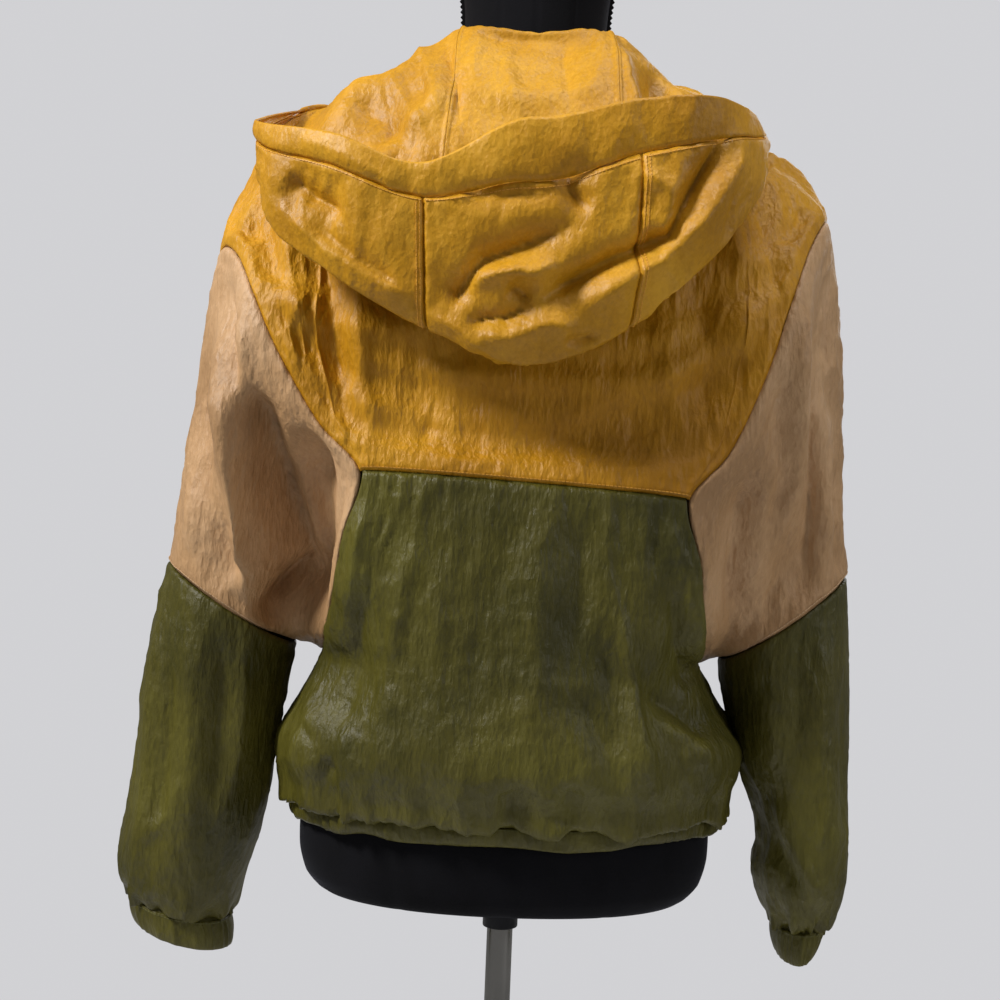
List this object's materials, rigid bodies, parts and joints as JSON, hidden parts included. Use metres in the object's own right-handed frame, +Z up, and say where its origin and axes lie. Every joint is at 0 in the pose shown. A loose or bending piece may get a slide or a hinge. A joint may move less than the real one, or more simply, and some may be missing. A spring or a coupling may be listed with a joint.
{
  "type": "hooded windbreaker jacket on a limbless dress form",
  "caption": "Three-colour hooded nylon windbreaker with a zipped front, elastic cuffs and hem, standing filled out on a dress form with a pole and round base.",
  "frame": {"origin": "centre of the round base's underside, where the stand rests on the floor", "axes": "+Z up the pole, the jacket's front faces -Y and the wearer's left is +X"},
  "size_m": [0.626, 0.3708, 1.299],
  "materials": {
    "mustard_nylon": "semi-gloss crinkled nylon taslan, mustard yellow",
    "tan_nylon": "semi-gloss crinkled nylon taslan, tan",
    "olive_nylon": "semi-gloss crinkled nylon taslan, olive green",
    "black_velvet": "matt black velvet stretched over the form",
    "stand_steel": "brushed steel tube and plate",
    "zip_teeth": "olive moulded zip chain",
    "zip_metal": "nickel-plated slider and tab"
  },
  "bodies": {
    "garment": {"back_yoke": "mustard_nylon", "back_lower": "olive_nylon", "front_upper_left": "mustard_nylon", "front_upper_right": "mustard_nylon", "front_lower_left": "olive_nylon", "front_lower_right": "olive_nylon", "sleeve_mid_left": "tan_nylon", "sleeve_mid_right": "tan_nylon", "sleeve_lower_left": "olive_nylon", "sleeve_lower_right": "olive_nylon", "cuff_left": "olive_nylon", "cuff_right": "olive_nylon", "hem_casing": "olive_nylon", "zip_chain": "zip_teeth", "zip_slider": "zip_metal", "hood_centre": "mustard_nylon", "hood_left": "mustard_nylon", "hood_right": "mustard_nylon", "hood_casing": "mustard_nylon", "form_torso": "black_velvet", "form_flange": "stand_steel", "stand_pole": "stand_steel", "stand_socket": "stand_steel", "stand_base": "stand_steel"},
    "zip_pull": {"zip_pull": "zip_metal"}
  },
  "joints": [
    {"name": "pull_swing", "type": "hinge", "parent": "garment", "child": "zip_pull", "pos_m": [0, -0.08977, 1.12724], "axis": [1, 0, 0], "range_deg": [-145, 0]}
  ]
}
